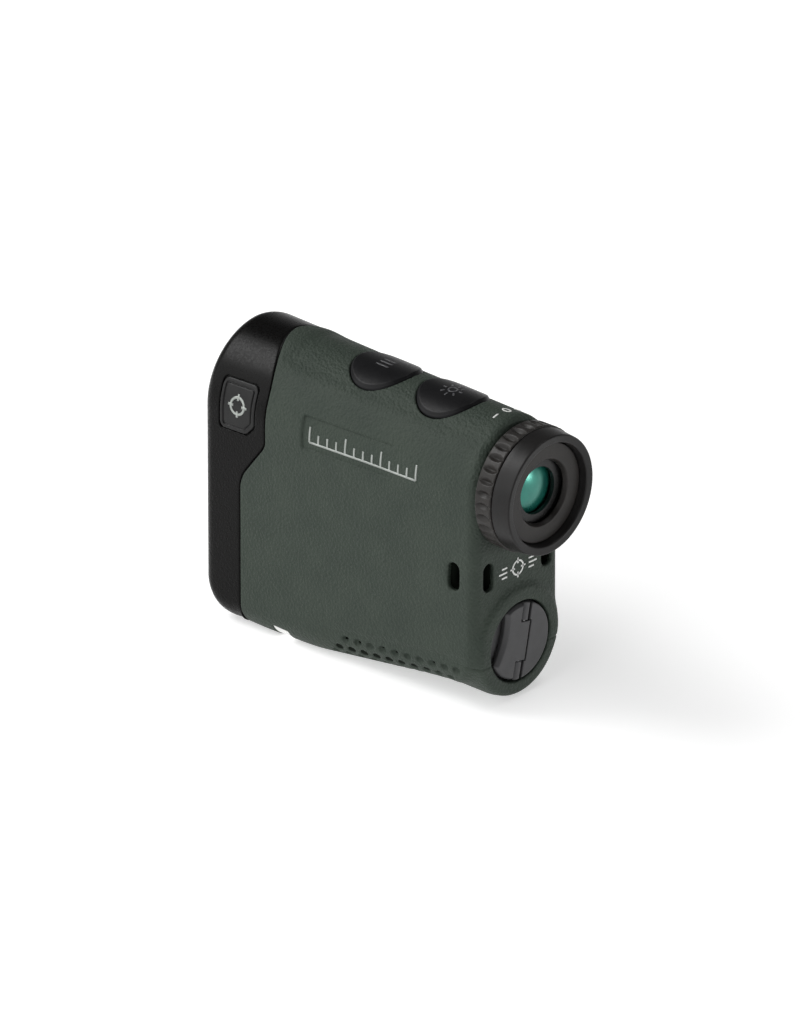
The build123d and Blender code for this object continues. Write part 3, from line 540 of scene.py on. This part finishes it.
def press_dimples(field, axes):
    """Presses an oval pit into both sides of the field's surface at each dimple, in place."""
    xs, ys, zs = (a.ravel() for a in axes)
    reach = max(DIMPLE_RADII) + 1.0
    for y, z in dimple_places():
        j, k = np.searchsorted(ys, y), np.searchsorted(zs, z)
        inside = np.nonzero(field[:, j, k] < 0)[0]
        if not len(inside):
            continue
        i = inside[-1]
        x = xs[i] + (xs[i + 1] - xs[i]) * field[i, j, k] / (field[i, j, k] - field[i + 1, j, k])
        slope = (field[i, j, k + 2] - field[i, j, k - 2]) / (zs[k + 2] - zs[k - 2])
        lean = np.clip(slope, -0.95, 0)
        hub = (x + DIMPLE_PROUD * (1 - lean * lean) ** 0.5, y, z + DIMPLE_PROUD * lean)
        for side in (1, -1):
            cut = [slice(*np.searchsorted(a, (c - reach, c + reach)))
                   for a, c in zip((xs, ys, zs), (side * hub[0], y, hub[2]))]
            near = np.ix_(*(range(s.start, s.stop) for s in cut))
            dx = (xs[cut[0]] - side * hub[0])[:, None, None] / DIMPLE_RADII[0]
            dy = (ys[cut[1]] - y)[None, :, None] / DIMPLE_RADII[1]
            dz = (zs[cut[2]] - hub[2])[None, None, :] / DIMPLE_RADII[2]
            pit = (1 - np.sqrt(dx * dx + dy * dy + dz * dz)) * min(DIMPLE_RADII)
            field[near] = both(field[near], pit, 0.15)


def sunken_panel(y, z):
    """Depth of the shallow panel in the side, with a fine line round its front part."""
    points = [(PANEL_Y[0], PANEL_Z[0]), (PANEL_Y[1], PANEL_Z[0]), (PANEL_Y[1], PANEL_Z[1]),
              (PANEL_Y[0], PANEL_Z[1])]
    border = outline_field(rounded(points, [PANEL_CORNER, 0, 0, PANEL_CORNER]), y, z)
    sunk = ramp(-border, 0.0, 0.3) * ramp(y, PANEL_Y[1], PANEL_FADE_Y)
    depth, half, fade_y = PANEL_RIM
    rim = ramp(np.abs(border + 0.1), half, 0.0) * ramp(y, PANEL_Y[1] - 3, fade_y)
    return PANEL_DEPTH * sunk + depth * rim


def scoop(y, z, side):
    """Depth of the concave grip scoop above the underside."""
    crease = CREASE[0] + CREASE[1] * y
    hollow = ramp(z, crease, crease - 1.6) * ramp(y, -14, -4) * ramp(y, 38, 30) * ramp(side, 7, 11)
    return SCOOP_DEPTH * hollow * ramp(z, crease - 9.0, crease - 5.0)


def openings(x, y, z):
    """Pairs of a cut (below zero inside it) and the round of its edge, in the order of cutting."""
    side = np.abs(x)
    for button_y in BUTTON_Y.values():
        yield np.maximum(np.hypot(x, y - button_y) - WELL_RADIUS, WELL_FLOOR_Z - z), 0.3
    behind = OPENING_DEPTH_Y - y
    yield np.maximum(np.hypot(x, z - AXIS_Z) - SEAT_RADIUS, behind), 0.3
    yield np.maximum(np.hypot(x, z - CELL_Z) - CAP_HOLE, behind), 0.55
    inner_x, front_y = SLOT_X - SLOT_HALF[0], SLOT_Y - SLOT_HALF[0]
    side_slot = np.maximum(obround(y - SLOT_Y, z - SLOT_Z, *SLOT_HALF), inner_x - side)
    rear_slot = np.maximum(obround(side - SLOT_X, z - SLOT_Z, *SLOT_HALF), front_y - y)
    yield np.minimum(side_slot, rear_slot), 0.35


def armour():
    """Rubber skin with its panel, scoop, dimples, label recess, parting line and openings."""
    step = 0.27
    axes = grid((-HALF_FRONT, ARMOUR_START_Y, 0), (HALF_FRONT, BOSS_Y, TOP_FRONT), step)
    x, y, z = axes
    side = np.abs(x)
    base = joined(body_field(x, y, z), battery_bulge(x, y, z, REAR_Y, BULGE_EDGE), 1.5)
    outer = joined(base, battery_bulge(x, y, z, BOSS_Y, BOSS_EDGE), 2.0)
    outer = outer + deck_drop(x, y) * ramp(z, *DECK_Z)
    outer = outer + sunken_panel(y, z) * ramp(side, 6, 8)
    outer = outer + scoop(y, z, side)
    outer = np.minimum(outer, body_field(x, y, z, edge=HOUSING_EDGE) + SKIN - LEAST_SKIN)
    press_dimples(outer, axes)
    recess = LABEL_DEPTH * ramp(-label_zone(y, z), 0.0, 0.3)
    outer = outer + recess * ramp(x, LABEL_INNER - 0.3, LABEL_INNER)
    parting = np.abs(z - PARTING[0] - PARTING[1] * (y - 37))
    line_depth = PARTING_DEPTH * ramp(parting, PARTING_HALF, 0.0)
    outer = outer + line_depth * ramp(y, 29.0, 33.0) * ramp(side, 8, 9)
    outer = both(outer, GASKET - bezel_zone(y, z), 0.35)
    for cut, edge in openings(x, y, z):
        outer = both(outer, -cut, edge)
    shell = np.maximum(outer, -(base + SKIN))
    piece = skin_mesh("armour_skin", shell, axes, step)
    dress(piece, "green_armour", "body", ["armour_sleeve"])


# ---- bezel and badge ----
def badge_outline(grow):
    """The badge's outline with one cut corner, grown outwards."""
    y = (BADGE_Y[0] - grow, BADGE_Y[1] + grow)
    z = (BADGE_Z[0] - grow, BADGE_Z[1] + grow)
    cut = 1.9 + 0.4 * grow
    points = [(y[0], z[0]), (y[1] - cut, z[0]), (y[1], z[0] + cut), (y[1], z[1]), (y[0], z[1])]
    return rounded(points, [0.5 + 0.5 * grow] * 5)


def bezel():
    """Front band with its two flared mouths and the badges' pockets."""
    step = 0.2
    axes = grid((-HALF_FRONT, FRONT_Y, 0), (HALF_FRONT, BEZEL_END_Y, TOP_FRONT), step)
    x, y, z = axes
    outer = both(body_field(x, y, z, FRONT_Y - BEZEL_DROP) + BEZEL_DROP, bezel_zone(y, z), 0.3)
    flare = MOUTH_FLARE * ramp(y, FRONT_Y + SKIN, FRONT_Y)
    for height, radius in ((AXIS_Z, OBJECTIVE_MOUTH), (EMITTER_Z, EMITTER_MOUTH)):
        outer = both(outer, radius + flare - np.hypot(x, z - height), 0.25)
    pocket = outline_field(badge_outline(BADGE_POCKET), y, z)
    skin = body_field(x, y, z)
    outer = both(outer, -np.maximum(pocket, -(skin + BEZEL_DROP + BADGE_DEPTH)), 0.12)
    shell = np.maximum(outer, -(skin + SKIN))
    piece = skin_mesh("bezel_shell", shell, axes, step)
    dress(piece, "bezel_plastic", "body", ["front_bezel"])


def badges():
    """Plate, groove and raised band on each side, with a ring and four ticks."""
    step, margin, inner_x = 0.1, 1.6, 15.5
    axes = grid((inner_x, BADGE_Y[0] - margin, BADGE_Z[0] - margin),
                (HALF_FRONT, BADGE_Y[1] + margin, BADGE_Z[1] + margin), step)
    x, y, z = axes
    edge = outline_field(badge_outline(0), y, z)
    groove = ramp(edge, 0.45, 0.3) * ramp(edge, -0.15, 0.0)
    plate = ramp(edge, 0.1, -0.05)
    level = BADGE_GROOVE * groove + BADGE_DROP * plate
    skin = body_field(x, y, z) + BEZEL_DROP
    badge = both(skin + level, edge - BADGE_BAND, 0.22)
    badge = np.maximum(badge, -(skin + BADGE_BACK))
    for side, name in ((1, "badge_left"), (-1, "badge_right")):
        piece = skin_mesh(name, badge, axes, step, lambda p: p * np.array((side, 1, 1)))
        stands_for = ["bezel_badges"] if side == 1 else []
        dress(piece, "badge_plastic", "body", stands_for)

        def place(u, v):
            at_y, at_z = sum(BADGE_Y) / 2 + side * u, sum(BADGE_Z) / 2 + 0.3 + v
            inset = BEZEL_DROP + BADGE_DROP
            return np.array((side * side_x(at_y, at_z, inset), at_y, at_z)), np.array((side, 0.0, 0.0))

        paths = [ring((0, 0), 2.1)]
        paths += [line((2.9 * cos(a), 2.9 * sin(a)), (1.3 * cos(a), 1.3 * sin(a)), 3)
                  for a in (0, pi / 2, pi, 3 * pi / 2)]
        mark = strokes("badge_mark_left" if side == 1 else "badge_mark_right", paths, 0.62, place)
        dress(mark, "mark_silver", "body")


# ---- printed marks ----
def panel_scale():
    """A plain graduated line in the side panel."""
    for side, name in ((1, "panel_scale_left"), (-1, "panel_scale_right")):
        def place(u, v):
            depth = PANEL_DEPTH * float(ramp(u, PANEL_Y[1], PANEL_FADE_Y))
            return np.array((side * side_x(u, v, depth), u, v)), np.array((side, 0.0, 0.0))

        first, last, base = PANEL_Y[0] + 2.2, PANEL_Y[1] - 1.6, PANEL_Z[0] + 2.1
        count = 12
        paths = [line((first, base), (last, base), 30)]
        for k in range(count + 1):
            u = first + (last - first) * k / count
            height = 3.9 if k % 4 == 0 else 2.4
            paths.append(line((u, base), (u, base + height), 6))
        piece = strokes(name, paths, 0.5, place)
        dress(piece, "mark_silver", "body")


def rear_marks():
    """A crosshair in a ring, with three bars on each side."""
    def place(u, v):
        return np.array((u, REAR_Y, v)), np.array((0.0, 1.0, 0.0))

    near, far, bar_start, bar_end, pitch = 1.1, 2.6, 3.8, 6.6, 1.2
    paths = [ring((0, MARK_Z), 1.8)]
    paths += [line((0, MARK_Z + s * near), (0, MARK_Z + s * far), 3) for s in (1, -1)]
    paths += [line((s * near, MARK_Z), (s * far, MARK_Z), 3) for s in (1, -1)]
    paths += [line((s * bar_start, MARK_Z + k * pitch), (s * (bar_end - abs(k)), MARK_Z + k * pitch), 3)
              for s in (1, -1) for k in (-1, 0, 1)]
    piece = strokes("rear_mark", paths, 0.42, place)
    dress(piece, "mark_white", "body")


def dioptre_marks():
    """Minus, zero and plus on the deck ahead of the eyepiece."""
    def place(u, v):
        return np.array((u, v, crest_z(u, v, deck_drop(np.array(u), np.array(v))))), np.array((0, 0, 1.0))

    y = DIOPTRE_Y
    zero = ring((-1.4, y), 0.72, 1.5)
    minus = line((3.3, y), (1.6, y), 4)
    plus = [line((-5.1, y - 0.95), (-5.1, y + 0.95), 4), line((-4.15, y), (-6.05, y), 4)]
    paths = [zero, minus, *plus]
    piece = strokes("dioptre_marks", paths, 0.42, place)
    dress(piece, "mark_white", "body")


# ---- buttons ----
def button_top(x, y, centre_y):
    """Drop of the button's top below the crest line: a bevel round a domed face."""
    out = np.hypot(x, y - centre_y) / BUTTON_RADIUS
    return 0.5 * ramp(out, 0.93, 1.0) ** 1.2


def buttons():
    """Two round keys on the crest, each with an icon."""
    for name, centre_y in BUTTON_Y.items():
        rings_out = np.concatenate([np.linspace(0, 0.78, 20), np.linspace(0.80, 1.0, 18)]) * BUTTON_RADIUS
        segments = 120
        angle = np.arange(segments) * 2 * pi / segments
        points, faces = [], []
        for r in rings_out:
            for a in angle:
                x, y = r * cos(a), centre_y + r * sin(a)
                points.append((x, y, crest_z(x, y) - float(button_top(x, y, centre_y)) - 0.01))
        for r in (BUTTON_RADIUS, 0.0):
            points += [(r * cos(a), centre_y + r * sin(a), BUTTON_BASE_Z + 0.01) for a in angle]
        count = len(rings_out) + 2
        for i in range(count - 1):
            for k in range(segments):
                j = (k + 1) % segments
                faces.append((i * segments + k, i * segments + j, (i + 1) * segments + j,
                              (i + 1) * segments + k))
        piece = add_mesh(name + "_key", points, faces)
        dress(piece, "button_plastic", name + "_button", [name + "_button"])

        def place(u, v):
            y = centre_y - u
            return np.array((v, y, crest_z(v, y) - float(button_top(v, y, centre_y)))), np.array((0, 0, 1.0))

        if name == "menu":
            paths = [line((-2.0, k * 1.5), (2.0, k * 1.5), 5) for k in (-1, 0, 1)]
        else:
            paths = [ring((0, 0), 1.1)]
            paths += [line((1.9 * cos(a), 1.9 * sin(a)), (3.0 * cos(a), 3.0 * sin(a)), 3)
                      for a in (radians(45 * k) for k in range(8))]
        icon = strokes(name + "_icon", paths, 0.45, place, 0.05)
        dress(icon, "mark_grey", name + "_button")


# ---- eyepiece ----
def eyepiece():
    """Scalloped ring, cup and the coated lens in its cell."""
    knurl = (38.2, 43.0)
    face = rounded(
        [(11.05, 38.12), (15.6, 38.12), (15.6, knurl[1]), (SEAT_RADIUS, knurl[1]), (SEAT_RADIUS, 45.0),
         (12.3, 45.0), (12.3, 46.05), (8.35, 45.95), (7.75, 44.75), (11.05, 44.75)],
        [0, 0.35, 0.35, 0, 0, 0, 0.1, 0.35, 0, 0], 4)
    scallops, reach = 32, 1.0

    def scalloped(radius, y, angle):
        along = (y - (knurl[0] + knurl[1]) / 2 - 0.1) / 2.45
        pitch = 2 * pi / scallops
        across = np.abs((angle + pitch / 2) % pitch - pitch / 2) * 15.6
        open_ = np.maximum(1 - along**2, 0) - (across / reach) ** 1.2
        return radius - np.where(radius > 14.6, 0.9 * np.maximum(open_, 0), 0)

    piece = lathe("knurled_ring", dense(face, 0.3), AXIS_Z, scallops * 16, scalloped)
    dress(piece, "ring_plastic", "dioptre_ring", ["dioptre_ring"])
    cup = rounded(
        [(SEAT_RADIUS + 0.02, 43.06), (15.3, 43.06), (15.2, 44.4), (14.82, RIM_Y - 0.02),
         (12.85, RIM_Y - 0.30), (12.4, 45.0), (SEAT_RADIUS + 0.02, 45.0)],
        [0, 0.3, 2.0, 0.35, 0.4, 0, 0], 6)
    piece = lathe("eyecup_rubber", dense(cup, 0.35), AXIS_Z, 192)
    dress(piece, "eyecup_rubber", "dioptre_ring", ["eyecup"])
    low, high = low_high("eye_lens")
    radius = high[0]
    bulge_rear, bulge_front, proud = 2.2, 0.3, 0.7
    shape = [(radius * k / 12, low[1] + bulge_front * (k / 12) ** 2) for k in range(13)]
    shape += [(radius * k / 24, high[1] + proud - bulge_rear * (k / 24) ** 2) for k in range(24, -1, -1)]
    piece = lathe("coated_eye_lens", np.array(shape), AXIS_Z, 96)
    dress(piece, "coated_glass", "focus_cell", ["eye_lens"])


# ---- battery cap ----
CAP_TURN = radians(-11.5)
CAP_RADIUS, CAP_FACE, CAP_SEAT = 9.8, 39.2, 36.6
PLUG_RADIUS, PLUG_BORE, PLUG_Y = 8.6, 7.0, (31.5, 34.0)
HINGE, HINGE_Y, KNUCKLE_END = -0.65, 38.2, 5.15
KNUCKLE_Y = 37.85
PIN_RADIUS = 0.66
FLOOR_Y = 37.1
TAB_GAP = 0.1


def on_cap(points):
    """From the cap's own axes (across the hinge, along Y, along the hinge) to the frame."""
    n, y, d = points.T
    return np.stack([n * cos(CAP_TURN) + d * sin(CAP_TURN), y,
                     CELL_Z - n * sin(CAP_TURN) + d * cos(CAP_TURN)], 1)


def cap():
    """Cap with its pocket and hinge relief, and the half-round tab with a finger notch."""
    step = 0.13
    axes = grid((-CAP_RADIUS, PLUG_Y[0], -CAP_RADIUS), (CAP_RADIUS, CAP_FACE, CAP_RADIUS), step)
    n, y, d = axes
    out = np.hypot(n, d)
    disc = both(both(out - CAP_RADIUS, y - CAP_FACE, 0.5), CAP_SEAT - y, 0.2)
    plug = both(both(out - PLUG_RADIUS, PLUG_Y[0] - y, 0.5), y - CAP_FACE, 0.1)
    shell = np.minimum(disc, plug)
    hinge = np.hypot(n - HINGE, y - HINGE_Y)
    knuckle = np.hypot(n - HINGE, y - KNUCKLE_Y)
    ends = KNUCKLE_END - np.abs(d)
    pocket = np.maximum(0.8 - n, FLOOR_Y - y)
    middle_cut = np.maximum(np.maximum(HINGE - n, FLOOR_Y - y), -ends)
    relief = np.maximum(hinge - 2.2, -ends)
    shoulders = np.maximum(np.maximum(-2.12 - n, KNUCKLE_Y - y), np.maximum(1.36 - knuckle, ends))
    core = np.maximum(out - PLUG_BORE, y - PLUG_Y[1])
    body = both(shell, -np.minimum(pocket, middle_cut), 0.15)
    body = both(body, -relief, 0.15)
    body = np.maximum(both(body, -shoulders, 0.12), -core)
    piece = skin_mesh("cap_shell", body, axes, step, on_cap)
    dress(piece, "cap_plastic", "battery_cap", ["cap_body"])

    axes = grid((-3.0, FLOOR_Y, -CAP_RADIUS), (CAP_RADIUS, CAP_FACE, CAP_RADIUS), step)
    n, y, d = axes
    out, hinge = np.hypot(n, d), np.hypot(n - HINGE, y - HINGE_Y)
    slab = np.maximum(y - CAP_FACE, FLOOR_Y + TAB_GAP - y)
    wing = np.maximum(out - CAP_RADIUS + TAB_GAP, HINGE + 1.57 - n)
    round_edge = np.where(n < HINGE, hinge - 1.92, n - 2.5)
    plan = np.minimum(wing, np.maximum(round_edge, np.abs(d) - KNUCKLE_END + 0.16))
    tab = both(plan, slab, 0.3)
    bevel = (out - CAP_RADIUS + TAB_GAP + (y - CAP_FACE) + 0.75) * 0.707
    lean, reach, notch_radius = radians(7.0), 25.4, 19.3
    notch = notch_radius - np.hypot(n - reach * cos(lean), d - reach * sin(lean))
    tab = both(tab, notch, 0.15)
    slope = (notch + (y - CAP_FACE) * 1.1 + 1.0) * 0.67
    tab = both(tab, slope, 0.12)
    tab = both(tab, bevel, 0.15)
    tab = np.maximum(tab, PIN_RADIUS - hinge)
    piece = skin_mesh("cap_flap", tab, axes, step, on_cap)
    dress(piece, "cap_plastic", "cap_tab", ["cap_tab"])


# ---- everything on the frame ----
armour()
label()
bezel()
badges()
panel_scale()
rear_marks()
dioptre_marks()
buttons()
eyepiece()
cap()
slots = {s["node"]: s["material_slot"] for s in frame["record"]["subparts"]}
for node, piece in frame["nodes"].items():
    dress(piece, slots[node])

# ---- stage, light and camera ----
AIM = Vector((0.0055, 0.0050, 0.0395))
BACK = Vector((0.6647, 0.6196, 0.4175)).normalized()    # from the aim towards the camera
CAMERA_DISTANCE, CAMERA_LENS = 1.667, 246.1
FLOOR_HALF, FLOOR_GREY, FLOOR_DROP = 4, 0.80, 0.00002
SKY_LOW, SKY_HIGH = (0.18, 0.80), (0.58, 0.10)          # (place on the ramp, grey)
SKY_STRENGTH = 0.48

floor_mesh = bpy.data.meshes.new("floor")
corners = [(x * FLOOR_HALF, y * FLOOR_HALF, 0) for x, y in ((-1, -1), (1, -1), (1, 1), (-1, 1))]
floor_mesh.from_pydata(corners, [], [(0, 1, 2, 3)])
floor = bpy.data.objects.new("floor", floor_mesh)
bpy.context.scene.collection.objects.link(floor)
floor.location.z = -FLOOR_DROP
floor_mat = shader("floor", 0.9, Base_Color=(FLOOR_GREY, FLOOR_GREY, FLOOR_GREY, 1),
                   Emission_Color=(1, 1, 1, 1), Emission_Strength=0.50,
                   Specular_IOR_Level=0.0)[0]
floor_mesh.materials.append(floor_mat)

world = bpy.data.worlds.new("studio")
world.use_nodes = True
sky = world.node_tree
toward = add_node(sky, "ShaderNodeTexCoord").outputs["Generated"]
height = add_node(sky, "ShaderNodeSeparateXYZ", {"Vector": toward}).outputs["Z"]
band = add_node(sky, "ShaderNodeValToRGB", {"Fac": height})
for element, (position, grey) in zip(band.color_ramp.elements, (SKY_LOW, SKY_HIGH)):
    element.position = position
    element.color = (grey, grey, grey, 1)
sky.links.new(band.outputs["Color"], sky.nodes["Background"].inputs["Color"])
sky.nodes["Background"].inputs["Strength"].default_value = SKY_STRENGTH
bpy.context.scene.world = world


def softbox(name, direction, distance, size, power):
    """A rectangular light at the distance from the aim, in the direction."""
    light = bpy.data.lights.new(name, "AREA")
    light.shape, light.size, light.size_y, light.energy = "RECTANGLE", size[0], size[1], power
    lamp = bpy.data.objects.new(name, light)
    bpy.context.scene.collection.objects.link(lamp)
    towards = Vector(direction).normalized()
    lamp.location = AIM + towards * distance
    lamp.rotation_euler = towards.to_track_quat("Z", "Y").to_euler()
    return lamp


softbox("side_box", (0.80, -0.38, 0.62), 1.2, (2.0, 1.4), 14.0)
softbox("fill_box", (0.30, -0.60, 0.75), 1.5, (0.8, 0.6), 9.0)
softbox("top_box", (-0.35, 0.15, 0.95), 1.6, (0.5, 0.5), 3.5)
softbox("eye_box", (-0.43, 0.88, 0.07), 1.2, (0.16, 0.12), 2.4)

camera_data = bpy.data.cameras.new("camera")
camera_data.lens = CAMERA_LENS
camera_data.sensor_width = 36.0
camera_data.clip_end = 20
camera = bpy.data.objects.new("camera", camera_data)
bpy.context.scene.collection.objects.link(camera)
camera.location = AIM + BACK * CAMERA_DISTANCE
camera.rotation_euler = BACK.to_track_quat("Z", "Y").to_euler()
bpy.context.scene.camera = camera
bpy.context.scene.view_settings.view_transform = "Standard"
